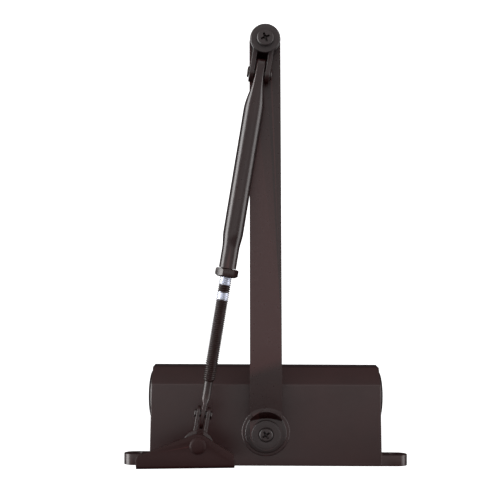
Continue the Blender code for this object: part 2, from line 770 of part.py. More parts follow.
def lock_nut(parts, tools, look):
    place = forearm_place() @ forearm_lathe(FOREARM_Z)
    low = TUBE_END + GAP
    corner = NUT_FLATS / 2 / math.cos(math.radians(30))
    hexagon = polygon(corner, 6, start=-11)
    nut = slab("lock_nut", hexagon, low, low + NUT_HEIGHT, place, parts, look)
    high = low + NUT_HEIGHT
    dome = [(0, high + 0.5), (corner - 1.0, high + 0.1), (corner + 0.3, high - 1)]
    dome += [(corner + 0.3, low + 1), (corner - 1.0, low - 0.1), (0, low - 0.5)]
    envelope = turned("nut_envelope", dome, place, tools)
    envelope.hide_render = True
    envelope.display_type = "WIRE"
    boolean(nut, envelope, "INTERSECT")
    cut(nut, [rod("nut_bore", ROD_R + GAP, low - 5, high + 5, place, tools, steps=MEDIUM)])


def threaded_rod(parts, tools, look):
    """The rod's thread at its outer diameter, the plain shank, and the blade that the clevis holds."""
    place = forearm_place()
    root = BLADE_START + 1
    profile = [(0, root), (SHANK_R, root), (SHANK_R, SHANK_START + 1), (ROD_R, SHANK_START - 1)]
    profile += [(ROD_R, ROD_START + 0.8), (ROD_R - 0.6, ROD_START), (0, ROD_START)]
    body = turned("threaded_rod", profile, place @ forearm_lathe(FOREARM_Z), parts, look, steps=MEDIUM)
    outline = arc(CLEVIS_PIN_AT + BLADE_PAST_PIN, 0, BLADE_HALF, -75, 75, 10)
    outline += [(BLADE_START - 3, SHANK_R - 0.2), (BLADE_START - 3, 0.2 - SHANK_R)]
    half = BLADE_THICK / 2
    blade = slab("rod_blade", outline, -half, half, place @ side_view(FOREARM_Z), tools)
    join(body, [blade])
    pin = place @ cross_axis(CLEVIS_PIN_AT, FOREARM_Z)
    cut(body, [rod("blade_eye", 2.3, -12, 12, pin, tools, steps=COARSE)])


# ---------------------------------------------------------------- shoe


def shoe_axis():
    """The shoe rivet's place in XY, at the end of the forearm."""
    tilt = math.radians(FOREARM_TILT)
    return ELBOW_X + FOREARM_REACH * math.sin(tilt), ELBOW_Y + FOREARM_REACH * math.cos(tilt)


def shoe_clevis(parts, tools, look):
    """A round base under the shoe plate, notched between two ears that reach back to the cross pin."""
    x, y = shoe_axis()
    upright = frame_at(x, y, 0)
    high = SHOE_TOP_Z - SHOE_PLATE - GAP
    low = high - 3.0
    base = rod("shoe_clevis", CLEVIS_BASE_R, low, high, upright, parts, look)
    back = forearm_place()
    flat = back @ side_view(FOREARM_Z)
    floor = -5.2
    ledge = high - FOREARM_Z - 1
    lugs = []
    for side in (-1, 1):
        near = side * CLEVIS_GAP / 2
        far = side * (CLEVIS_GAP / 2 + CLEVIS_PLATE)
        outline = arc(CLEVIS_PIN_AT, 0, 5.2, 90, 270, 12)
        outline += [(FOREARM_REACH + 4, floor), (FOREARM_REACH + 6, ledge), (FOREARM_REACH - 7, ledge)]
        lugs.append(slab(f"clevis_lug_{side}", outline, min(near, far), max(near, far), flat, tools))
    join(base, lugs)
    half = CLEVIS_GAP / 2
    start = FOREARM_REACH - 14
    end = FOREARM_REACH - CLEVIS_NOTCH_AT
    sides = [(-half, start), (half, start), (half, end), (-half, end)]
    notch = slab("clevis_notch", sides, 50, 70, back, tools)
    pin = back @ cross_axis(CLEVIS_PIN_AT, FOREARM_Z)
    hole = rod("clevis_hole", 2.3, -12, 12, pin, tools, steps=COARSE)
    stem = rod("clevis_rivet_hole", 3.3, low - 1, high + 1, upright, tools, steps=COARSE)
    cut(base, [notch, hole, stem])
    rivet_pin("clevis_pin", 2.25, CLEVIS_GAP / 2 + CLEVIS_PLATE, 2.9, 0.8, pin, parts, look)


def shoe_slope(across, back):
    """The slope in degrees of the edge from the end corner, tangent to the round peak."""
    reach = math.hypot(across, back)
    return math.degrees(math.atan2(back, across) + math.asin(SHOE_PEAK_R / reach))


def shoe_outline():
    """The plate from above, about the rivet: a round peak, two slopes, short ends and a straight back."""
    r = SHOE_PEAK_R
    end = SHOE_BACK - SHOE_END_EDGE
    left_slope = shoe_slope(SHOE_LEFT, end)
    right_slope = shoe_slope(SHOE_RIGHT, end)
    peak = arc(0, 0, r, 270 - right_slope, 270 + left_slope, 8)
    corner = 3.3
    round_end = arc(SHOE_LEFT - corner, end + corner - 0.6, corner, left_slope - 90, 0, 5)
    return peak + round_end + [(SHOE_LEFT, SHOE_BACK), (-SHOE_RIGHT, SHOE_BACK), (-SHOE_RIGHT, end)]


def shoe(parts, tools, looks):
    x, y = shoe_axis()
    place = frame_at(x, y, 0, tilt=SHOE_TWIST)
    low = SHOE_TOP_Z - SHOE_PLATE
    plate = slab("shoe", shoe_outline(), low, SHOE_TOP_Z, place, parts, looks["paint"])
    foot = low - FLANGE_DROP
    corners = ((-SHOE_RIGHT, SHOE_BACK - FLANGE_THICK, foot), (SHOE_LEFT, SHOE_BACK, SHOE_TOP_Z))
    flange = box("shoe_flange", *corners, place, tools)
    join(plate, [flange])
    holes = []
    for index, at in enumerate(SHOE_HOLE_X):
        hole = place @ frame_at(at, 0, low - FLANGE_DROP / 2, lay="Y")
        ends = (-SHOE_BACK - 5, FLANGE_THICK + 3 - SHOE_BACK)
        holes.append(rod(f"shoe_hole_{index}", SHOE_HOLE_R, *ends, hole, tools, steps=MEDIUM))
    rivet_hole = rod("shoe_rivet_hole", 3.3, low - 2, SHOE_TOP_Z + 2, place, tools, steps=COARSE)
    cut(plate, holes + [rivet_hole])
    bevel(plate, 0.4, 1, 50)
    shoe_rivet(parts, frame_at(x, y, 0), looks["paint"])


def shoe_rivet(parts, place, look):
    """A low-domed head on the shoe plate, with its stem down through the clevis base."""
    seat = SHOE_TOP_Z + GAP
    tail = SHOE_TOP_Z - SHOE_PLATE - 3.0 - 2 * GAP
    r = SHOE_RIVET_R
    dome = [(r * x, seat + SHOE_RIVET_RISE * y) for x, y in QUARTER_STEPS]
    profile = dome + [(r, seat + 0.3), (r, seat), (3.0, seat), (3.0, tail), (0, tail)]
    turned("shoe_rivet", profile, place, parts, look, steps=MEDIUM)


# ---------------------------------------------------------------- assembly


def looks():
    return {
        "paint": material("bronze_paint", (0.046, 0.035, 0.034), 0.34, 0.15),
        "steel": material("machined_steel", (0.46, 0.46, 0.47), 0.3, 0.95),
        "chrome": material("bearing_steel", (0.7, 0.7, 0.72), 0.12, 1.0),
        "rubber": material("seal_rubber", (0.02, 0.02, 0.02), 0.7, 0.0),
        "plastic": material("dark_plastic", (0.04, 0.03, 0.03), 0.45, 0.0),
        "spring": material("spring_steel", (0.2, 0.2, 0.21), 0.35, 0.9),
        "zinc": material("zinc_plate", (0.6, 0.63, 0.68), 0.32, 0.9),
        "brass": material("sintered_bronze", (0.45, 0.28, 0.12), 0.4, 0.9),
    }


def build():
    clear_scene()
    parts = new_collection("door_closer")
    tools = new_collection("cutters", hidden=True)
    palette = looks()
    housing(parts, tools, palette["paint"])
    end_plugs(parts, palette["paint"], palette["rubber"])
    pinion_supports(parts, palette)
    pinion_shaft(parts, tools, palette["steel"])
    piston(parts, tools, palette)
    closing_spring(parts, palette["spring"])
    speed_valves(parts, tools, palette)
    main_arm(parts, tools, palette["paint"])
    arm_fastening(parts, tools, palette)
    elbow(parts, tools, palette)
    forearm_tube(parts, tools, palette["paint"])
    lock_nut(parts, tools, palette["paint"])
    threaded_rod(parts, tools, palette["paint"])
    shoe_clevis(parts, tools, palette["paint"])
    shoe(parts, tools, palette)


build()
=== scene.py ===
"""The door closer's looks: fine meshes and painted-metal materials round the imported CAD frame.

Lengths are in millimetres and angles in degrees; the helpers turn them into metres and radians.
"""

import json
import math

import bmesh
import bpy
from mathutils import Matrix, Vector


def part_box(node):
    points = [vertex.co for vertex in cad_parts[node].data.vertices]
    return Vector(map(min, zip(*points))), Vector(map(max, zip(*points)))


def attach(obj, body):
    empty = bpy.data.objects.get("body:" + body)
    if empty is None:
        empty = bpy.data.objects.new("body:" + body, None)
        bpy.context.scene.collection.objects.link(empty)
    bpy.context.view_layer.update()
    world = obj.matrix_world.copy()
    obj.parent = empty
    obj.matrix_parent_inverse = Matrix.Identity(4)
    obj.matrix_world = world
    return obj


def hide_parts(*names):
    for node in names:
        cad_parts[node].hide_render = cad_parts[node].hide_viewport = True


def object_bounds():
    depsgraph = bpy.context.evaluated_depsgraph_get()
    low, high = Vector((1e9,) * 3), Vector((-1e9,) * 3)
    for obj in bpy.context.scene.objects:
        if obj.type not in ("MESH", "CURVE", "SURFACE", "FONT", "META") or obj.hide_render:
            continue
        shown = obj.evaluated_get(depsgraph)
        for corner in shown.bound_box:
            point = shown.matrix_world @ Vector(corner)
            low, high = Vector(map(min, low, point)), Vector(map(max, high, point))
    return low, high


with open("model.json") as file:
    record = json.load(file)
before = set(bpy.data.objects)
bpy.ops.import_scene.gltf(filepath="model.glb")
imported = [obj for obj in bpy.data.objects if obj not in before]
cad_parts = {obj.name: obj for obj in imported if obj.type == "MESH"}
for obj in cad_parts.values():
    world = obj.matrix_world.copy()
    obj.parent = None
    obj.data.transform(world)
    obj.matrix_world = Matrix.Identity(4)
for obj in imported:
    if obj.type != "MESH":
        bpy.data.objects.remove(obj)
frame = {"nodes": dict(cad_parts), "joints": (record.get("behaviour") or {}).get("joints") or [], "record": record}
CAD_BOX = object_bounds()

MM = 0.001
WELD = 0.000005
JOINTS = {joint["name"]: joint for joint in frame["joints"]}


def joint_at(name):
    """A joint's place in millimetres."""
    return Vector(JOINTS[name]["pos_m"]) * 1000


def node_box(name):
    low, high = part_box(name)
    return Vector(low) * 1000, Vector(high) * 1000


PINION = joint_at("pinion_turn")
ELBOW = joint_at("elbow_swing")
KNUCKLE_PIN = joint_at("forearm_tilt")
CLEVIS_PIN = joint_at("foot_tilt")
RIVET = joint_at("shoe_swing")
ALONG = Vector(JOINTS["forearm_slide"]["axis"])
FOREARM_Z = KNUCKLE_PIN.z
FOREARM_TILT = math.degrees(math.atan2(ALONG.x, ALONG.y))
ARM_TURN = math.degrees(math.atan2(ELBOW.x - PINION.x, PINION.y - ELBOW.y))
ARM_REACH = (ELBOW - PINION).xy.length
PIN_AT = (KNUCKLE_PIN - ELBOW).xy.length
CLEVIS_PIN_AT = (CLEVIS_PIN - ELBOW).xy.length
REACH = (RIVET - ELBOW).xy.length


# ---------------------------------------------------------------- helpers


def frame_at(x, y, z, tilt=0.0, lay=None):
    """A placement: tilt turns it about Z, and lay then turns its own Z onto X or Y."""
    place = Matrix.Translation(Vector((x, y, z)) * MM) @ Matrix.Rotation(math.radians(tilt), 4, "Z")
    if lay == "X":
        return place @ Matrix(((0, 0, 1, 0), (1, 0, 0, 0), (0, 1, 0, 0), (0, 0, 0, 1)))
    if lay == "Y":
        return place @ Matrix(((1, 0, 0, 0), (0, 0, -1, 0), (0, 1, 0, 0), (0, 0, 0, 1)))
    return place


def spin_z(degrees):
    return Matrix.Rotation(math.radians(degrees), 4, "Z")


def arc(x, y, radius, start, end, steps):
    angles = [math.radians(start + (end - start) * i / steps) for i in range(steps + 1)]
    return [(x + radius * math.cos(a), y + radius * math.sin(a)) for a in angles]


def rounded(corners, closed=True, steps=5):
    """A polyline of (x, y) or (x, y, radius), with an arc in place of each corner that has a radius."""
    points = []
    count = len(corners)
    for index, corner in enumerate(corners):
        here = Vector(corner[:2])
        radius = corner[2] if len(corner) > 2 else 0
        at_end = not closed and index in (0, count - 1)
        if radius == 0 or at_end:
            points.append(tuple(here))
            continue
        back = (Vector(corners[index - 1][:2]) - here).normalized()
        ahead = (Vector(corners[(index + 1) % count][:2]) - here).normalized()
        half = back.angle(ahead) / 2
        reach = radius / math.tan(half)
        centre = here + (back + ahead).normalized() * radius / math.sin(half)
        first = here + back * reach - centre
        last = here + ahead * reach - centre
        sweep = first.angle_signed(last)
        for step in range(steps + 1):
            turn = -sweep * step / steps
            points.append(tuple(centre + Matrix.Rotation(turn, 2) @ first))
    return points


def add_mesh(name, mesh, place):
    obj = bpy.data.objects.new(name, mesh)
    obj.matrix_world = place
    bpy.context.scene.collection.objects.link(obj)
    return obj


def bake(obj, dissolve=0.0):
    """Applies an object's modifiers, or turns a curve into a mesh, and welds what meets."""
    view = bpy.context.evaluated_depsgraph_get()
    mesh = bpy.data.meshes.new_from_object(obj.evaluated_get(view))
    work = bmesh.new()
    work.from_mesh(mesh)
    bmesh.ops.remove_doubles(work, verts=work.verts, dist=WELD)
    if dissolve:
        angle = math.radians(dissolve)
        bmesh.ops.dissolve_limit(work, angle_limit=angle, verts=work.verts, edges=work.edges)
    work.to_mesh(mesh)
    work.free()
    mesh.materials.clear()
    name = obj.name
    place = obj.matrix_world.copy()
    old = obj.data
    bpy.data.objects.remove(obj, do_unlink=True)
    if old.users == 0 and isinstance(old, bpy.types.Mesh):
        bpy.data.meshes.remove(old)
    return add_mesh(name, mesh, place)


def turned(name, profile, place, closed=False, steps=96):
    """A profile of (radius, height) turned about the placement's Z, listed down its outer side."""
    mesh = bpy.data.meshes.new(name)
    edges = [(i, i + 1) for i in range(len(profile) - 1)]
    if closed:
        edges.append((len(profile) - 1, 0))
    mesh.from_pydata([(p[0] * MM, 0.0, p[1] * MM) for p in profile], edges, [])
    obj = add_mesh(name, mesh, place)
    screw = obj.modifiers.new("turn", "SCREW")
    screw.steps = steps
    screw.render_steps = steps
    screw.use_merge_vertices = True
    screw.merge_threshold = WELD
    return bake(obj)


def rod(name, radius, low, high, place, steps=48):
    return turned(name, [(0, high), (radius, high), (radius, low), (0, low)], place, steps=steps)


def slab(name, outline, low, high, place, edge=0.0, hole=None):
    """A flat outline given thickness along the placement's Z, its rims rounded by edge."""
    curve = bpy.data.curves.new(name, "CURVE")
    curve.dimensions = "2D"
    curve.fill_mode = "BOTH"
    curve.extrude = (high - low) / 2 * MM
    for loop in (outline, hole or []):
        if not loop:
            continue
        spline = curve.splines.new("POLY")
        spline.points.add(len(loop) - 1)
        for point, (x, y) in zip(spline.points, loop):
            point.co = (x * MM, y * MM, 0.0, 1.0)
        spline.use_cyclic_u = True
    obj = bpy.data.objects.new(name, curve)
    obj.matrix_world = place @ Matrix.Translation((0, 0, (high + low) / 2 * MM))
    bpy.context.scene.collection.objects.link(obj)
    made = bake(obj, dissolve=0.2)
    if edge:
        bevel(made, edge)
        made = bake(made)
    return made


def loft(name, sections, place):
    """A closed skin through rings of points that all have the same count."""
    work = bmesh.new()
    rings = [[work.verts.new(p) for p in section] for section in sections]
    for first, second in zip(rings, rings[1:]):
        for i in range(len(first)):
            j = (i + 1) % len(first)
            work.faces.new((first[i], first[j], second[j], second[i]))
    work.faces.new(rings[0][::-1])
    work.faces.new(rings[-1])
    bmesh.ops.recalc_face_normals(work, faces=work.faces)
    mesh = bpy.data.meshes.new(name)
    work.to_mesh(mesh)
    work.free()
    return add_mesh(name, mesh, place)


def bevel(obj, width, segments=3, angle=40):
    step = obj.modifiers.new("bevel", "BEVEL")
    step.width = width * MM
    step.segments = segments
    step.limit_method = "ANGLE"
    step.angle_limit = math.radians(angle)
    step.miter_outer = "MITER_ARC"


def combine(obj, tools, operation):
    """Joins, cuts or intersects with the tools, then removes them."""
    for tool in tools:
        step = obj.modifiers.new(operation.lower(), "BOOLEAN")
        step.operation = operation
        step.object = tool
        step.solver = "EXACT"
    made = bake(obj)
    for tool in tools:
        bpy.data.objects.remove(tool, do_unlink=True)
    return made


def join(obj, *tools):
    return combine(obj, tools, "UNION")


def cut(obj, *tools):
    return combine(obj, tools, "DIFFERENCE")


def finish_piece(obj, body, looks, nodes, sharp=32):
    """Shades a piece, gives it its material, and puts it on its body in place of its CAD nodes."""
    obj.data.shade_smooth()
    obj.data.set_sharp_from_angle(angle=math.radians(sharp))
    for look in looks if isinstance(looks, (list, tuple)) else [looks]:
        obj.data.materials.append(look)
    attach(obj, body)
    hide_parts(*nodes)
    return obj


# ---------------------------------------------------------------- materials

# Painted highlight: convex edges, picked out by pointiness, are painted this much lighter.
EDGE_HIGHLIGHT_POINTINESS = (0.54, 0.62)
EDGE_HIGHLIGHT_GAIN = 2.2
METAL_GRAIN = 400.0
CAST_PEEL = (700.0, 0.00004)


def new_material(name):
    made = bpy.data.materials.new(name)
    made.use_nodes = True
    tree = made.node_tree
    return made, tree, tree.nodes["Principled BSDF"]


def noise(tree, scale, detail=3.0, stretch=(1.0, 1.0, 1.0)):
    """A noise texture in the object's own coordinates."""
    where = tree.nodes.new("ShaderNodeTexCoord")
    mapping = tree.nodes.new("ShaderNodeMapping")
    mapping.inputs["Scale"].default_value = stretch
    grain = tree.nodes.new("ShaderNodeTexNoise")
    grain.inputs["Scale"].default_value = scale
    grain.inputs["Detail"].default_value = detail
    tree.links.new(where.outputs["Object"], mapping.inputs["Vector"])
    tree.links.new(mapping.outputs["Vector"], grain.inputs["Vector"])
    return grain.outputs["Fac"]


def ramp(tree, source, low, high):
    """A colour ramp from low to high over the middle of the source's range."""
    made = tree.nodes.new("ShaderNodeValToRGB")
    made.color_ramp.elements[0].position = 0.3
    made.color_ramp.elements[0].color = (*low, 1.0)
    made.color_ramp.elements[1].position = 0.7
    made.color_ramp.elements[1].color = (*high, 1.0)
    tree.links.new(source, made.inputs["Fac"])
    return made.outputs["Color"]


def span(tree, source, low, high):
    made = tree.nodes.new("ShaderNodeMapRange")
    made.inputs["To Min"].default_value = low
    made.inputs["To Max"].default_value = high
    tree.links.new(source, made.inputs["Value"])
    return made.outputs["Result"]


def bump(tree, shader, source, strength, distance):
    made = tree.nodes.new("ShaderNodeBump")
    made.inputs["Strength"].default_value = strength
    made.inputs["Distance"].default_value = distance
    tree.links.new(source, made.inputs["Height"])
    tree.links.new(made.outputs["Normal"], shader.inputs["Normal"])


def paint_edge_highlight(tree, colour, highlight_colour):
    """Painted highlight: mixes a lighter colour in where the surface is a convex edge."""
    shape = tree.nodes.new("ShaderNodeNewGeometry")
    mask = tree.nodes.new("ShaderNodeMapRange")
    mask.inputs["From Min"].default_value = EDGE_HIGHLIGHT_POINTINESS[0]
    mask.inputs["From Max"].default_value = EDGE_HIGHLIGHT_POINTINESS[1]
    tree.links.new(shape.outputs["Pointiness"], mask.inputs["Value"])
    mix = tree.nodes.new("ShaderNodeMix")
    mix.data_type = "RGBA"
    tree.links.new(mask.outputs["Result"], mix.inputs["Factor"])
    tree.links.new(colour, mix.inputs["A"])
    mix.inputs["B"].default_value = (*highlight_colour, 1.0)
    return mix.outputs["Result"]


def paint(name, dark, light, rough, peel=900.0, peel_depth=0.00003, gloss=0.5):
    """Satin bronze paint: faint cloudiness, fine orange peel, and a painted highlight that makes convex edges a
    little lighter.
    """
    made, tree, shader = new_material(name)
    cloud = ramp(tree, noise(tree, 45.0, 4.0), dark, light)
    # Painted highlight: convex edges get the lighter tone.
    highlight_tone = tuple(c * EDGE_HIGHLIGHT_GAIN for c in light)
    tree.links.new(paint_edge_highlight(tree, cloud, highlight_tone), shader.inputs["Base Color"])
    tree.links.new(span(tree, noise(tree, 300.0), *rough), shader.inputs["Roughness"])
    shader.inputs["Specular IOR Level"].default_value = gloss
    bump(tree, shader, noise(tree, peel, 2.0), 0.25, peel_depth)
    return made


def metal(name, dark, light, rough, grain=(1.0, 1.0, 1.0)):
    """Bare or plated metal with streaked colour and roughness."""
    made, tree, shader = new_material(name)
    tree.links.new(ramp(tree, noise(tree, METAL_GRAIN, 4.0, grain), dark, light), shader.inputs["Base Color"])
    tree.links.new(span(tree, noise(tree, METAL_GRAIN * 1.5, 3.0, grain), *rough), shader.inputs["Roughness"])
    shader.inputs["Metallic"].default_value = 1.0
    bump(tree, shader, noise(tree, METAL_GRAIN * 2, 3.0, grain), 0.2, 0.00002)
    return made


def plain(name, dark, light, rough):
    """Rubber or moulded plastic with a fine even grain."""
    made, tree, shader = new_material(name)
    tree.links.new(ramp(tree, noise(tree, 120.0), dark, light), shader.inputs["Base Color"])
    tree.links.new(span(tree, noise(tree, 500.0), *rough), shader.inputs["Roughness"])
    bump(tree, shader, noise(tree, 1400.0, 2.0), 0.4, 0.00004)
    return made


PAINT = paint("bronze_paint", (0.024, 0.0065, 0.0062), (0.030, 0.0085, 0.0082), (0.24, 0.34))
CAST = paint("bronze_paint_cast", (0.032, 0.008, 0.0076), (0.039, 0.01, 0.0098), (0.32, 0.42), *CAST_PEEL)
MATT = paint("bronze_paint_matt", (0.028, 0.0065, 0.0062), (0.034, 0.0085, 0.0082), (0.4, 0.52), gloss=0.22)
HARDWARE_TONES = ((0.022, 0.0085, 0.0085), (0.027, 0.011, 0.011))
HARDWARE = paint("bronze_hardware", *HARDWARE_TONES, (0.46, 0.56), 1600.0, gloss=0.6)
THREAD = paint("bronze_thread", (0.022, 0.007, 0.006), (0.03, 0.0095, 0.008), (0.36, 0.48), 2000.0)
ZINC = metal("zinc_plate", (0.57, 0.59, 0.66), (0.77, 0.79, 0.88), (0.35, 0.55))
STEEL = metal("machined_steel", (0.35, 0.35, 0.36), (0.5, 0.5, 0.51), (0.22, 0.38), (1.0, 1.0, 12.0))
SPRING = metal("spring_steel", (0.11, 0.11, 0.12), (0.18, 0.18, 0.19), (0.3, 0.45))
BRONZE = metal("sintered_bronze", (0.32, 0.19, 0.08), (0.48, 0.3, 0.13), (0.35, 0.5))
RUBBER = plain("seal_rubber", (0.012, 0.012, 0.012), (0.02, 0.02, 0.02), (0.55, 0.75))
PLASTIC = plain("dark_plastic", (0.016, 0.011, 0.01), (0.022, 0.015, 0.014), (0.38, 0.5))


# ---------------------------------------------------------------- body

BODY_LOW, BODY_HIGH = node_box("housing")
HALF_HEIGHT = 22.0
BODY_DEPTH = -BODY_LOW.y
BODY_LENGTH = 153.6
FRONT_LENGTH = 151.0
CHAMFER_DEPTH = 10.9
CHAMFER_HEIGHT = 11.5
EAR_THICK = 7.3
EAR_HEIGHT = 15.0
EAR_CORNER = 7.0
EAR_FILLET = 2.4
EAR_HOLE = (85.0, 14.5, 3.25)
BORE_Y = -44.3
BORE_R = 17.0
BOSS_R = 15.9
BOSS_TOP = BODY_HIGH.z


def taper_ends(obj):
    draw = (BODY_LENGTH - FRONT_LENGTH) / BODY_LENGTH
    for vertex in obj.data.vertices:
        world = obj.matrix_world @ vertex.co
        world.x *= 1 - draw * (-world.y) / (BODY_DEPTH * MM)
        vertex.co = obj.matrix_world.inverted() @ world


def ear(side, label):
    inner = BODY_LENGTH / 2 - 4
    outer = BODY_HIGH.x - 0.02
    top = HALF_HEIGHT - 0.12
    low = HALF_HEIGHT - EAR_HEIGHT
    corners = [(inner, low), (outer, low, EAR_CORNER), (outer, top, EAR_CORNER), (inner, top)]
    outline = [(side * x, z) for x, z in rounded(corners, steps=12)]
    x, z, r = EAR_HOLE
    hole = arc(side * x, z, r, 0, 352.5, 47)
    return slab(f"{label}_ear", outline, 0.12, EAR_THICK, frame_at(0, 0, 0, lay="Y"), edge=0.5, hole=hole)


def ear_web(side, label):
    """The fillet between an ear and the body's end."""
    end = BODY_LENGTH / 2 - 0.35
    front = 0.1 - EAR_THICK
    points = arc(end + EAR_FILLET, front - EAR_FILLET, EAR_FILLET, 90, 180, 8)
    points += [(end - 2, front - EAR_FILLET), (end - 2, front + 2), (end + EAR_FILLET, front + 2)]
    outline = [(side * x, y) for x, y in points]
    low = HALF_HEIGHT - EAR_HEIGHT + 0.8
    return slab(f"{label}_web", outline, low, HALF_HEIGHT - 0.8, frame_at(0, 0, 0))


def boss(label, flip):
    """The raised ring round the pinion."""
    top = BOSS_TOP
    low = HALF_HEIGHT - 2
    profile = rounded([(0, top), (BOSS_R, top, 0.7), (BOSS_R, low), (0, low)], closed=False)
    place = frame_at(0, PINION.y, 0) @ Matrix.Rotation(0 if flip > 0 else math.pi, 4, "X")
    return turned(f"{label}_boss", profile, place)


def housing():
    half = HALF_HEIGHT
    front = -BODY_DEPTH
    section = [(0, -half, 0.8), (front + CHAMFER_DEPTH, -half, 1.6), (front, CHAMFER_HEIGHT - half, 1.6)]
    section += [(front, half - CHAMFER_HEIGHT, 1.6), (front + CHAMFER_DEPTH, half, 1.6), (0, half, 0.8)]
    outline = rounded(section, steps=6)
    length = BODY_LENGTH / 2
    body = slab("housing_shell", outline, -length, length, frame_at(0, 0, 0, lay="X"), edge=0.6)
    taper_ends(body)
    body = join(body, ear(1, "left"), ear_web(1, "left"), ear(-1, "right"), ear_web(-1, "right"))
    body = join(body, boss("upper", 1), boss("lower", -1))
    bore = rod("bore_tool", BORE_R, -90, 90, frame_at(0, BORE_Y, 0, lay="X"), steps=96)
    wells = [rod(f"well_{z}", 3.3, 50, 90, frame_at(0, -16, z, lay="X"), steps=32) for z in (10, -10)]
    pinion_bore = rod("pinion_tool", 12.0, -30, 30, frame_at(0, PINION.y, 0), steps=96)
    body = cut(body, *wells)
    body = cut(body, bore)
    body = cut(body, pinion_bore)
    finish_piece(body, "body", CAST, ["housing"])


def end_plugs():
    """Domed cylinder plugs with a fine rim groove and two spanner holes."""
    for side, label in ((1, "left"), (-1, "right")):
        node = f"end_plug_{label}"
        low, high = node_box(node)
        crown = max(abs(low.x), abs(high.x))
        base = min(abs(low.x), abs(high.x))
        r = BORE_R - 0.3
        rise = 2.9
        angles = [math.radians(a) for a in range(0, 84, 6)]
        dome = [(r * math.sin(a), crown - rise + rise * math.cos(a)) for a in angles]
        rim = crown - rise - 0.1
        skirt = [dome[-1], (r, rim, 0.5), (r, base + 5.2), (r - 2.2, base + 5.2)]
        profile = dome + rounded(skirt, closed=False)[1:]
        profile += [(r - 2.2, base + 2.4), (r, base + 2.4), (r, base), (0, base)]
        place = frame_at(0, BORE_Y, 0, tilt=0 if side > 0 else 180, lay="X")
        plug = turned(f"{node}_dome", profile, place)
        holes = []
        for z in (-9, 9):
            at = place @ Matrix.Translation((0, z * MM, 0))
            holes.append(rod(f"{node}_hole_{z}", 1.6, crown - 4, crown + 2, at, steps=32))
        plug = cut(plug, *holes)
        finish_piece(plug, "body", PAINT, [node])


def pinion_trim():
    """Bearing nuts at both ends of the pinion and the dust cap below."""
    top = BOSS_TOP
    bore = 6.4
    for label, flip in (("upper", 1), ("lower", -1)):
        corners = [(bore, top + 2, 0.4), (13.7, top + 2, 0.6), (13.7, top + 0.3), (11.7, top + 0.3)]
        corners += [(11.7, 20.4), (bore, 20.4)]
        place = frame_at(0, PINION.y, 0) @ Matrix.Rotation(0 if flip > 0 else math.pi, 4, "X")
        nut = turned(f"{label}_nut_ring", rounded(corners, steps=4), place, closed=True)
        finish_piece(nut, "body", PAINT, [f"{label}_bearing_nut"])
    low, high = node_box("pinion_cap")
    corners = [(0, low.z + 1.5), (11.0, low.z + 1.5, 0.5), (11.0, high.z), (12.8, high.z)]
    corners += [(12.8, low.z, 1.6), (0, low.z)]
    cap = turned("pinion_cap_shell", rounded(corners, closed=False, steps=6), frame_at(0, PINION.y, 0))
    finish_piece(cap, "body", PLASTIC, ["pinion_cap"])


# ---------------------------------------------------------------- main arm

ARM_LOW, ARM_HIGH = node_box("main_arm")
ARM_TOP = ARM_HIGH.z
ARM_EYE_LOW = ARM_LOW.z
ARM_THICK = 6.0
ARM_EYE_TOP = ARM_EYE_LOW + ARM_THICK
ARM_HALF_ELBOW = 10.0
ARM_HALF_JOGGLE = 10.4
BOW_START = 66.0
BOW_END = 19.3
BOW_DROP = 1.6
WALL_HEAD = (15.9, 13.05)
WALL_FOOT = (10.4, 29.6)
STUD_R = 2.7


def wall_ring(height, reach, radius):
    """The space over the eye at one height, bounded towards the elbow by an arc."""
    far = 13.0
    span_angle = math.degrees(math.asin(min(far / radius, 0.999)))
    points = arc(0, radius - reach, radius, 270 - span_angle, 270 + span_angle, 32)
    points += [(far, 30), (-far, 30)]
    return [Vector((x * MM, y * MM, height * MM)) for x, y in points]


def main_arm():
    """The joggled arm: a stepped profile turned about the pinion, trimmed to the arm's outline."""
    far = ARM_REACH + 30
    top = ARM_TOP
    low = top - BOW_DROP
    bow = []
    for step in range(13):
        share = step / 12
        bow.append((BOW_END + (BOW_START - BOW_END) * share, low + BOW_DROP * (1 - (1 - share) ** 2)))
    upper = [(0, low - 0.15), (bow[0][0] - 1.2, low - 0.1, 0.4)] + bow + [(far, top)]
    under = [(r, z - ARM_THICK) for r, z in bow]
    lower = [(far, top - ARM_THICK)] + under[::-1]
    lower += [(16.9, low - 6.7, 2.0), (12.5, ARM_EYE_LOW, 2.0), (0, ARM_EYE_LOW)]
    profile = rounded(upper, closed=False, steps=8) + rounded(lower, closed=False, steps=4)
    place = frame_at(PINION.x, PINION.y, 0, tilt=ARM_TURN)
    blank = turned("main_arm_plate", profile, place, steps=160)
    eye = arc(0, 0, ARM_HALF_JOGGLE, 0, 180, 40)
    elbow = arc(0, -ARM_REACH, ARM_HALF_ELBOW, 180, 360, 40)
    arm = combine(blank, [slab("arm_outline", eye + elbow, 20, 60, place)], "INTERSECT")
    hole = rod("stud_tool", STUD_R, 30, 60, frame_at(ELBOW.x, ELBOW.y, 0))
    socket = slab("square_tool", square(4.4), 20, 36, place)
    layers = ((ARM_EYE_TOP, WALL_FOOT), (low + 0.2, WALL_HEAD), (low + 10, WALL_HEAD))
    arm = cut(arm, hole, socket, loft("joggle_tool", [wall_ring(z, *wall) for z, wall in layers], place))
    arm = bake(arm, dissolve=0.5)
    bevel(arm, 0.35, 2, 50)
    arm = bake(arm)
    finish_piece(arm, "pinion", PAINT, ["main_arm"], sharp=28)


def square(half):
    return [(-half, -half), (half, -half), (half, half), (-half, half)]


def turned_point(x, y, angle):
    return x * math.cos(angle) - y * math.sin(angle), x * math.sin(angle) + y * math.cos(angle)


def cross_outline(reach, half, scale):
    """A cross recess from above: four arms with slightly rounded roots."""
    corner = half * 1.5
    points = []
    for quarter in range(4):
        turn = math.radians(90 * quarter)
        for x, y in ((reach, -half * 0.8), (reach, half * 0.8), (corner, half * 1.05)):
            points.append(turned_point(x, y, turn))
        mid = half * 1.12
        points.append(turned_point(mid, mid, turn))
    return [(x * scale, y * scale) for x, y in points]


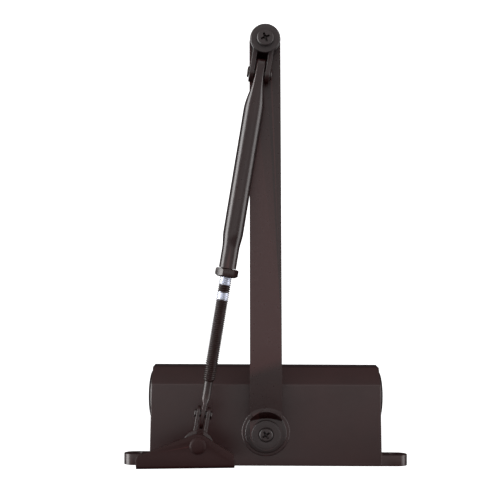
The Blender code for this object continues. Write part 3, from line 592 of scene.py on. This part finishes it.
def cross_tool(name, reach, half, top, depth, place, turn):
    """A tapered cross, wider at its top."""
    layers = [(top + 1, 1.05), (top, 1.0), (top - depth * 0.8, 0.8), (top - depth, 0.4)]
    sections = []
    for height, scale in layers:
        outline = cross_outline(reach, half, scale)
        sections.append([Vector((x * MM, y * MM, height * MM)) for x, y in outline])
    return loft(name, sections, place @ spin_z(turn))


def screw(name, radius, rise, low, seat, recess, place, turn, body, node):
    """A pan-head screw along Z: recess is the cross's (reach, half width, depth)."""
    top = seat + rise
    corners = [(0, top), (radius - 0.55, top - 0.1, 0.5), (radius, top - 0.65, 0.25)]
    corners += [(radius, seat, 0.12), (2.4, seat), (2.4, low + 0.5), (1.9, low), (0, low)]
    head = turned(f"{name}_head", rounded(corners, closed=False, steps=6), place, steps=64)
    reach, half, depth = recess
    head = cut(head, cross_tool(f"{name}_cross", reach, half, top, depth, place, turn))
    finish_piece(head, body, HARDWARE, [node])


def arm_fastening():
    low, high = node_box("arm_washer")
    r = (high.x - low.x) / 2
    face = high.z
    floor = low.z + 0.8
    corners = [(2.9, floor), (4.75, floor), (4.8, face, 0.3)]
    corners += [(r, face - 0.15, 0.4), (r, low.z, 0.2), (2.9, low.z)]
    place = frame_at(0, PINION.y, 0)
    washer = turned("arm_washer_cup", rounded(corners, steps=5), place, closed=True)
    finish_piece(washer, "pinion", HARDWARE, ["arm_washer"])
    low, high = node_box("arm_screw")
    seat = high.z - 2.1
    screw("arm_screw", 4.35, 2.1, low.z, seat, (2.75, 0.68, 3.2), place, 33, "pinion", "arm_screw")


# ---------------------------------------------------------------- elbow

KNUCKLE_LOW, KNUCKLE_HIGH = node_box("elbow_knuckle")
BARREL_R = 9.7
LUG_GAP = 7.2
LUG_PLATE = 2.9
LUG_TAPER = 0.7
LUG_TAPER_START = 11.0
LUG_TAPER_LENGTH = PIN_AT - 15


def side_view(place):
    """Turns an outline's XY into (along the forearm, height), with its Z across it."""
    return place @ Matrix.Translation((0, 0, FOREARM_Z * MM)) @ Matrix(
        ((0, 0, 1, 0), (1, 0, 0, 0), (0, 1, 0, 0), (0, 0, 0, 1))
    )


def lathe(place):
    """Turns a profile's Z into distance along the forearm."""
    return place @ Matrix.Translation((0, 0, FOREARM_Z * MM)) @ Matrix(
        ((1, 0, 0, 0), (0, 0, 1, 0), (0, -1, 0, 0), (0, 0, 0, 1))
    )


def across(place, at):
    """A pin's place across the forearm."""
    return place @ Matrix.Translation((0, at * MM, FOREARM_Z * MM)) @ Matrix(
        ((0, 0, 1, 0), (1, 0, 0, 0), (0, 1, 0, 0), (0, 0, 0, 1))
    )


def forearm_place():
    return frame_at(ELBOW.x, ELBOW.y, 0, tilt=-FOREARM_TILT)


def thin_outwards(lug, side, far):
    """Thins a lug's outer side evenly from the taper's start to its end, and beyond."""
    for vertex in lug.data.vertices:
        along = vertex.co.x / MM
        share = min(max((along - LUG_TAPER_START) / LUG_TAPER_LENGTH, 0.0), 1.0)
        if abs(vertex.co.z / MM) > abs(far) - LUG_PLATE / 2:
            vertex.co.z -= side * LUG_TAPER * MM * share


def elbow():
    place = frame_at(ELBOW.x, ELBOW.y, 0)
    along = forearm_place()
    low = KNUCKLE_LOW.z
    high = KNUCKLE_HIGH.z
    corners = [(0, high), (BARREL_R, high, 1.2), (BARREL_R, low, 0.9), (0, low)]
    barrel = turned("elbow_barrel", rounded(corners, closed=False), place)
    lugs = []
    for side in (-1, 1):
        near = side * LUG_GAP / 2
        far = side * (LUG_GAP / 2 + LUG_PLATE)
        outline = arc(PIN_AT, 0, 6.3, -90, 90, 24) + [(5.6, 7.2), (5.6, -7.0)]
        lug = slab(f"lug_{side}", outline, min(near, far), max(near, far), side_view(along), edge=0.45)
        thin_outwards(lug, side, far)
        lugs.append(lug)
    web = slab("lug_web", [(6.0, 6.9), (10.0, 6.9), (12.5, -9.8), (6.0, -9.8)], -4, 4, side_view(along))
    barrel = join(barrel, web, *lugs)
    gap = LUG_GAP / 2
    slot_side = [(8.0, 6.4), (11.5, -9.8), (11.5, -20), (40, -20), (40, 20), (8.0, 20)]
    slot = slab("slot_tool", slot_side, -gap, gap, side_view(along))
    bore = rod("bore_tool", 5.0, low - 5, high + 5, place, steps=64)
    pin_hole = rod("pin_tool", 2.6, -12, 12, across(along, PIN_AT))
    barrel = cut(barrel, slot, pin_hole)
    barrel = cut(barrel, bore)
    finish_piece(barrel, "knuckle", PAINT, ["elbow_knuckle"])
    washer_low, washer_high = node_box("elbow_washer")
    r = (washer_high.x - washer_low.x) / 2
    top = washer_high.z
    foot = washer_low.z
    corners = [(3.3, top, 0.2), (r, top, 0.4), (r, foot, 0.4), (3.3, foot)]
    washer = turned("elbow_washer_disc", rounded(corners), place, closed=True)
    finish_piece(washer, "pinion", HARDWARE, ["elbow_washer"])
    low, high = node_box("elbow_screw")
    seat = high.z - 3.7
    screw("elbow_screw", 5.25, 3.7, low.z, seat, (2.95, 0.74, 3.4), place, 22, "pinion", "elbow_screw")
    rivet_pin("knuckle_pin", 2.55, LUG_GAP / 2 + LUG_PLATE, 3.6, 1.2, across(along, PIN_AT), "knuckle")


def rivet_pin(node, radius, half_grip, head_r, rise, place, body):
    """A cross rivet with a low domed head at each end."""
    seat = half_grip + 0.3
    top = seat + rise
    corners = [(0, top), (head_r, top, rise * 0.9), (head_r, seat), (radius, seat)]
    head = rounded(corners, closed=False, steps=6)
    profile = head + [(r, -z) for r, z in reversed(head)]
    finish_piece(turned(f"{node}_rivet", profile, place, steps=48), body, PAINT, [node])


# ---------------------------------------------------------------- forearm

TUBE_R = 6.4
FLAT_HALF_THICK = 2.9
FLAT_HALF_TALL = 6.4
TUBE_FULL_AT = 45.0
NECK_START = 124.0
NECK_END = 134.0
NECK_R = 5.5
TUBE_END = 146.8
NUT_HEIGHT = 5.4
NUT_FLATS = 13.0
ROD_R = 4.0
THREAD_PITCH = 1.25
THREAD_DEPTH = 0.77
THREAD_START = 120.0
SHANK_START = 219.8
SHANK_END = 230.8
SHANK_R = 2.65
BLADE_HALF = 1.2
ZINC_BANDS = ((148.0, 157.3), (162.2, 167.2))


def ring_across(along, wide, tall, r, count=16):
    """A rounded rectangle across the forearm, a circle when its half sizes and its radius are one."""
    points = []
    for quarter, (x, z) in enumerate(((1, 1), (-1, 1), (-1, -1), (1, -1))):
        for step in range(count):
            angle = math.radians(90 * quarter + 90 * step / (count - 1))
            aside = x * (wide - r) + r * math.cos(angle)
            up = z * (tall - r) + r * math.sin(angle)
            points.append(Vector((aside * MM, along * MM, (FOREARM_Z + up) * MM)))
    return points


def ease(share):
    return share * share * (3 - 2 * share)


def forearm_tube():
    """Pressed flat into an eye at the elbow, round in the middle, and drawn down to a neck."""
    place = forearm_place()
    flat = FLAT_HALF_THICK
    start = PIN_AT - 8.5
    stations = [(start, flat - 0.4, 5.0, 0.8), (start + 0.25, flat - 0.1, 5.4, 1.1)]
    stations += [(start + 0.8, flat, 5.8, 1.4)]
    stations += [(start + 1.8, flat, 6.2, 1.5), (start + 3.5, flat, FLAT_HALF_TALL, 1.6)]
    bend = PIN_AT + 2
    for index in range(19):
        share = index / 18
        grown = ease(share)
        at = bend + (TUBE_FULL_AT - bend) * share
        wide = flat + (TUBE_R - flat) * grown
        tall = FLAT_HALF_TALL + (TUBE_R - FLAT_HALF_TALL) * grown
        stations.append((at, wide, tall, min(1.6 + (TUBE_R - 1.6) * grown, wide, tall)))
    stations += [(TUBE_FULL_AT + 26 * i, TUBE_R, TUBE_R, TUBE_R) for i in (1, 2)]
    for index in range(9):
        share = index / 8
        r = TUBE_R + (NECK_R - TUBE_R) * ease(share)
        stations.append((NECK_START + (NECK_END - NECK_START) * share, r, r, r))
    stations += [(end, r, r, r) for end, r in ((TUBE_END - 0.1, NECK_R), (TUBE_END, NECK_R - 0.1))]
    tube = loft("forearm_tube_skin", [ring_across(*s) for s in stations], place)
    bore = rod("tube_bore_tool", 4.3, 84, TUBE_END + 10, lathe(place), steps=48)
    eye = rod("tube_eye_tool", 2.6, -12, 12, across(place, PIN_AT), steps=32)
    tube = cut(tube, bore, eye)
    finish_piece(tube, "forearm", PAINT, ["forearm_tube"])


def lock_nut():
    """A hexagon nut, chamfered on both faces."""
    place = lathe(forearm_place())
    low = TUBE_END + 0.3
    high = low + NUT_HEIGHT
    corner = NUT_FLATS / 2 / math.cos(math.radians(30))
    hexagon = arc(0, 0, corner, -11, 289, 5)
    nut = slab("lock_nut_hex", hexagon, low, high, place)
    lens = [(0, high + 0.3), (corner - 2.1, high + 0.05)]
    lens += [(corner + 0.05, high - 1.25), (corner + 0.05, low + 0.6)]
    lens += [(corner - 1.2, low - 0.05), (0, low - 0.3)]
    nut = combine(nut, [turned("nut_lens", lens, place)], "INTERSECT")
    nut = cut(nut, rod("nut_bore_tool", 4.3, low - 5, high + 5, place))
    nut = bake(nut, dissolve=0.5)
    bevel(nut, 0.22, 2, 22)
    nut = bake(nut)
    finish_piece(nut, "nut", PAINT, ["lock_nut"], sharp=18)


def in_zinc(at):
    return any(low <= at <= high for low, high in ZINC_BANDS)


def thread_radius(at, turn):
    """The thread's radius at a distance along the rod and an angle, as a share of a turn."""
    phase = (at / THREAD_PITCH - turn) % 1.0
    ridge = 1 - abs(2 * phase - 1)
    crest = min(max((ridge - 0.15) / 0.6, 0.0), 1.0)
    start = min(max((at - THREAD_START) / 1.5, 0.0), 1.0)
    runout = SHANK_R + max(SHANK_START - at, 0.0) * 0.8
    return min((ROD_R - THREAD_DEPTH * (1 - crest)) * (0.86 + 0.14 * start), runout)


def threaded_rod():
    """A real helical thread with two bare zinc bands, a plain shank, and the blade in the clevis."""
    place = forearm_place()
    sides = 28
    step = THREAD_PITCH / 8
    count = int((SHANK_START - THREAD_START) / step)
    work = bmesh.new()
    rings = []
    for index in range(count + 1):
        at = THREAD_START + step * index
        ring = []
        for side in range(sides):
            angle = 2 * math.pi * side / sides
            r = thread_radius(at, side / sides)
            ring.append(work.verts.new((r * math.cos(angle) * MM, r * math.sin(angle) * MM, at * MM)))
        rings.append(ring)
    around = [2 * math.pi * side / sides for side in range(sides)]
    shank = [(SHANK_R * math.cos(angle), SHANK_R * math.sin(angle)) for angle in around]
    for at in (SHANK_START + 0.3, SHANK_END):
        rings.append([work.verts.new((x * MM, y * MM, at * MM)) for x, y in shank])
    for index, (first, second) in enumerate(zip(rings, rings[1:])):
        at = THREAD_START + step * (index + 0.5)
        for i in range(sides):
            j = (i + 1) % sides
            face = work.faces.new((first[i], first[j], second[j], second[i]))
            face.material_index = 1 if in_zinc(at) else 0
    work.faces.new(rings[0][::-1])
    work.faces.new(rings[-1])
    bmesh.ops.recalc_face_normals(work, faces=work.faces)
    mesh = bpy.data.meshes.new("rod_thread")
    work.to_mesh(mesh)
    work.free()
    thread = add_mesh("rod_thread", mesh, lathe(place))
    thread.data.materials.append(THREAD)
    thread.data.materials.append(ZINC)
    thread.data.shade_smooth()
    thread.data.set_sharp_from_angle(angle=math.radians(40))
    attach(thread, "rod")
    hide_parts("threaded_rod")
    blade_piece(place)


def blade_piece(place):
    """The flattened end: the shank swells into a thin blade round the clevis pin."""
    start = SHANK_END - 0.5
    pin = CLEVIS_PIN_AT
    half = BLADE_HALF
    stations = [(start, 2.6, 2.6, 2.55), (start + 0.8, 2.5, 2.75, 2.3), (start + 2.0, 2.0, 3.3, 1.4)]
    stations += [(start + 3.4, half, 4.0, 0.7), (start + 5.5, half, 4.5, 0.5), (pin + 5.0, half, 4.6, 0.5)]
    stations += [(pin + 7.2, half, 4.0, 0.5), (pin + 8.6, half, 2.8, 0.5), (pin + 9.3, half - 0.2, 1.7, 0.4)]
    blade = loft("rod_blade", [ring_across(*s, count=8) for s in stations], place)
    blade = cut(blade, rod("blade_eye_tool", 2.3, -12, 12, across(place, pin), steps=24))
    blade.data.shade_smooth()
    blade.data.set_sharp_from_angle(angle=math.radians(40))
    blade.data.materials.append(PAINT)
    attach(blade, "rod")


# ---------------------------------------------------------------- shoe

CLEVIS_TOP = node_box("shoe_clevis")[1].z
CLEVIS_GAP = 4.4
CLEVIS_PLATE = 2.4
CLEVIS_BASE_R = 9.6
CLEVIS_NOTCH_AT = 6.4
SHOE_LOW, SHOE_HIGH = node_box("shoe")
SHOE_PLATE = 3.0
SHOE_TOP = SHOE_HIGH.z
SHOE_RIGHT = 22.9
SHOE_LEFT = 39.1
SHOE_BACK = 14.3
SHOE_END_EDGE = 8.4
SHOE_PEAK_R = 7.4
FLANGE_THICK = 2.6
SHOE_HOLES = (-13.0, 29.0)
SHOE_HOLE_R = 3.1
SHOE_FACE = Vector(next(m["axis"] for m in frame["record"]["mounts"] if m["name"] == "shoe_face"))
SHOE_TWIST = math.degrees(math.atan2(-SHOE_FACE.x, SHOE_FACE.y))
SHOE_SIDE = Matrix(((0, 0, -1, 0), (1, 0, 0, 0), (0, 1, 0, 0), (0, 0, 0, 1)))


def shoe_clevis():
    upright = frame_at(RIVET.x, RIVET.y, 0)
    along = forearm_place()
    high = CLEVIS_TOP
    low = high - 3.0
    corners = [(0, high), (CLEVIS_BASE_R, high, 0.5), (CLEVIS_BASE_R, low, 0.8), (0, low)]
    base = turned("clevis_base", rounded(corners, closed=False), upright)
    lugs = []
    for side in (-1, 1):
        near = side * CLEVIS_GAP / 2
        far = side * (CLEVIS_GAP / 2 + CLEVIS_PLATE - 0.3)
        floor = -5.2
        outline = arc(CLEVIS_PIN_AT, 0, 5.2, 90, 270, 24)
        outline += [(REACH + 4, floor), (REACH + 6, high - FOREARM_Z - 1), (REACH - 7, high - FOREARM_Z - 1)]
        lug_name = f"clevis_lug_{side}"
        lugs.append(slab(lug_name, outline, min(near, far), max(near, far), side_view(along), edge=0.45))
    base = join(base, *lugs)
    half = CLEVIS_GAP / 2
    near = REACH - 14
    far = REACH - CLEVIS_NOTCH_AT
    notch = rounded([(-half, near), (half, near), (half, far, 1.0), (-half, far, 1.0)])
    hole = rod("clevis_hole_tool", 2.3, -12, 12, across(along, CLEVIS_PIN_AT))
    stem = rod("clevis_stem_tool", 3.3, low - 1, high + 1, upright)
    base = cut(base, slab("notch_tool", notch, 50, 70, along), hole, stem)
    finish_piece(base, "clevis", PAINT, ["shoe_clevis"])
    half_grip = CLEVIS_GAP / 2 + CLEVIS_PLATE
    rivet_pin("clevis_pin", 2.25, half_grip, 2.9, 0.8, across(along, CLEVIS_PIN_AT), "clevis")


def shoe_slope(across_shoe, back):
    """The slope of the edge from the end corner, tangent to the round peak."""
    reach = math.hypot(across_shoe, back)
    return math.degrees(math.atan2(back, across_shoe) + math.asin(SHOE_PEAK_R / reach))


def shoe():
    """The triangular plate, bent down at its back into the mounting flange, and the large rivet."""
    place = frame_at(RIVET.x, RIVET.y, 0, tilt=SHOE_TWIST)
    foot = SHOE_LOW.z
    low = SHOE_TOP - SHOE_PLATE
    front = SHOE_BACK - FLANGE_THICK
    bend = [(-20, low), (front, low, 0.8), (front, foot, 0.5)]
    bend += [(SHOE_BACK, foot, 0.5), (SHOE_BACK, SHOE_TOP, 2.4), (-20, SHOE_TOP)]
    sheet = slab("shoe_sheet", rounded(bend, steps=8), -SHOE_LEFT, SHOE_RIGHT, place @ SHOE_SIDE)
    r = SHOE_PEAK_R
    end = SHOE_BACK - SHOE_END_EDGE
    left = shoe_slope(SHOE_LEFT, end)
    right = shoe_slope(SHOE_RIGHT, end)
    peak = arc(0, 0, r, 270 - right, 270 + left, 20)
    corner = 3.3
    shoulder = arc(SHOE_LEFT - corner, end + corner - 0.6, corner, left - 90, 0, 10)
    outline = peak + shoulder + [(SHOE_LEFT, SHOE_BACK + 1), (-SHOE_RIGHT, SHOE_BACK + 1), (-SHOE_RIGHT, end)]
    plate = combine(sheet, [slab("shoe_outline", outline, foot - 5, SHOE_TOP + 5, place)], "INTERSECT")
    holes = []
    for at in SHOE_HOLES:
        hole = place @ frame_at(at, 0, (low + foot) / 2, lay="Y")
        holes.append(rod(f"shoe_hole_{at}", SHOE_HOLE_R, -SHOE_BACK - 5, 6 - SHOE_BACK, hole))
    plate = cut(plate, *holes, rod("rivet_hole_tool", 3.3, low - 2, SHOE_TOP + 2, place))
    plate = bake(plate, dissolve=0.4)
    bevel(plate, 0.4, 3, 50)
    plate = bake(plate)
    finish_piece(plate, "shoe", MATT, ["shoe"])
    shoe_rivet()


def shoe_rivet():
    low, high = node_box("shoe_rivet")
    r = (high.x - low.x) / 2
    seat = SHOE_TOP + 0.3
    rise = high.z - seat
    rim = seat + 0.5
    angles = [math.radians(a) for a in range(0, 91, 6)]
    dome = [(0.9 * r * math.sin(a), rim + (rise - 1.3) * math.cos(a)) for a in angles]
    profile = dome + [(r - 0.3, rim - 0.05), (r, rim - 0.3), (r, seat), (3.0, seat), (3.0, low.z), (0, low.z)]
    rivet = turned("shoe_rivet_dome", profile, frame_at(RIVET.x, RIVET.y, 0))
    finish_piece(rivet, "shoe", MATT, ["shoe_rivet"])


# ---------------------------------------------------------------- hidden pieces, stage and camera

HIDDEN_LOOKS = {
    "pinion_shaft": STEEL,
    "piston": STEEL,
    "upper_bearing": STEEL,
    "lower_bearing": STEEL,
    "check_valve_retainer": STEEL,
    "check_valve_ball": STEEL,
    "closing_spring": SPRING,
    "plug_seal_left": RUBBER,
    "plug_seal_right": RUBBER,
    "upper_pinion_seal": RUBBER,
    "lower_pinion_seal": RUBBER,
    "sweep_valve_seal": RUBBER,
    "latch_valve_seal": RUBBER,
    "sweep_valve_screw": ZINC,
    "latch_valve_screw": ZINC,
    "elbow_bush": BRONZE,
}


def dress_hidden():
    """Gives the CAD nodes that stay their finish."""
    for node, look in HIDDEN_LOOKS.items():
        data = frame["nodes"][node].data
        data.materials.clear()
        data.materials.append(look)


FLOOR_DROP = 6.0
SKY_BY_HEIGHT = ((-1.0, 0.04), (-0.16, 0.06), (0.0, 0.15), (0.5, 0.45), (0.79, 0.7))
SKY_BY_HEIGHT += ((0.95, 1.1), (1.0, 1.2))
SKY_BY_DEPTH = ((-0.5, 1.0), (-0.36, 0.7), (-0.25, 0.45), (-0.16, 0.3), (-0.116, 0.36))
SKY_BY_DEPTH += ((-0.072, 0.57), (-0.029, 1.0))
SKY_BY_DEPTH += ((0.024, 1.35), (0.06, 1.2), (0.1, 0.9), (0.145, 0.56), (0.18, 0.34))
SKY_BY_DEPTH += ((0.23, 0.17), (0.5, 0.4))
SKY_BY_SIDE = ((-0.5, 1.4), (-0.1, 1.1), (-0.01, 1.0), (0.1, 1.1), (0.5, 1.4))
SKY_BACK = 0.75


def brightness(tree, source, levels):
    """A colour ramp through the (value, level) pairs."""
    low, high = levels[0][0], levels[-1][0]
    place = span(tree, source, 0.0, 1.0)
    place.node.inputs["From Min"].default_value = low
    place.node.inputs["From Max"].default_value = high
    glow = tree.nodes.new("ShaderNodeValToRGB")
    stops = glow.color_ramp.elements
    while len(stops) < len(levels):
        stops.new(0.5)
    for stop, (value, level) in zip(stops, levels):
        stop.position = (value - low) / (high - low)
        stop.color = (level, level, level, 1.0)
    tree.links.new(place, glow.inputs["Fac"])
    return glow.outputs["Color"]


def sky():
    """Soft light, brightest overhead, that fades to the horizon and the door and grows to both sides."""
    world = bpy.data.worlds.new("studio")
    world.use_nodes = True
    tree = world.node_tree
    way = tree.nodes.new("ShaderNodeTexCoord")
    parts = tree.nodes.new("ShaderNodeSeparateXYZ")
    tree.links.new(way.outputs["Generated"], parts.inputs["Vector"])
    height = brightness(tree, parts.outputs["Z"], SKY_BY_HEIGHT)
    depth = brightness(tree, parts.outputs["Y"], SKY_BY_DEPTH)
    sides = brightness(tree, parts.outputs["X"], SKY_BY_SIDE)
    back = sums(tree, "MULTIPLY", parts.outputs["Y"], -SKY_BACK)
    shape = sums(tree, "MULTIPLY", sides, sums(tree, "ADD", back, 1.0))
    level = sums(tree, "MULTIPLY", sums(tree, "MULTIPLY", height, depth), shape)
    tree.nodes["Background"].inputs["Color"].default_value = (1.0, 1.0, 1.0, 1.0)
    tree.links.new(level, tree.nodes["Background"].inputs["Strength"])
    bpy.context.scene.world = world


def sums(tree, operation, first, second):
    """A math node: second is another node's output or a plain number."""
    made = tree.nodes.new("ShaderNodeMath")
    made.operation = operation
    tree.links.new(first, made.inputs[0])
    if isinstance(second, float):
        made.inputs[1].default_value = second
    else:
        tree.links.new(second, made.inputs[1])
    return made.outputs["Value"]


def stage():
    """A pale floor that glows to clean white, soft lights from both sides, and a soft sky."""
    low, _ = CAD_BOX
    bpy.ops.mesh.primitive_plane_add(size=4.0, location=(0, -0.14, low[2] - FLOOR_DROP * MM))
    floor = bpy.context.object
    floor.name = "floor"
    made, _, shader = new_material("floor_white")
    shader.inputs["Base Color"].default_value = (0.8, 0.8, 0.8, 1.0)
    shader.inputs["Roughness"].default_value = 0.8
    shader.inputs["Emission Color"].default_value = (1.0, 1.0, 1.0, 1.0)
    shader.inputs["Emission Strength"].default_value = 1.0
    floor.data.materials.append(made)
    floor.visible_glossy = False
    floor.visible_diffuse = False
    floor.visible_shadow = False
    sky()
    bpy.context.scene.view_settings.view_transform = "Standard"
    soft_light("left_softbox", (1.0, -0.14, 0.18), (0.0, -0.14, 0.04), (0.6, 1.2), 20.0)
    soft_light("right_softbox", (-1.0, -0.14, 0.2), (0.0, -0.14, 0.04), (0.6, 1.2), 8.5)


def soft_light(name, spot, target, size, power):
    data = bpy.data.lights.new(name, "AREA")
    data.shape = "RECTANGLE"
    data.size = size[1]
    data.size_y = size[0]
    data.energy = power
    light = bpy.data.objects.new(name, data)
    light.location = spot
    light.visible_diffuse = False
    aim = Vector(target) - Vector(spot)
    light.rotation_euler = aim.to_track_quat("-Z", "Y").to_euler()
    bpy.context.scene.collection.objects.link(light)


def camera():
    data = bpy.data.cameras.new("camera")
    data.lens = 98.2
    data.sensor_width = 36.0
    made = bpy.data.objects.new("camera", data)
    made.location = (0.0110, -0.1425, 0.922)
    made.rotation_euler = (0.0, 0.0, math.radians(180.0 + 0.27))
    bpy.context.scene.collection.objects.link(made)
    bpy.context.scene.camera = made


camera()
stage()
housing()
end_plugs()
pinion_trim()
main_arm()
arm_fastening()
elbow()
forearm_tube()
lock_nut()
threaded_rod()
shoe_clevis()
shoe()
dress_hidden()
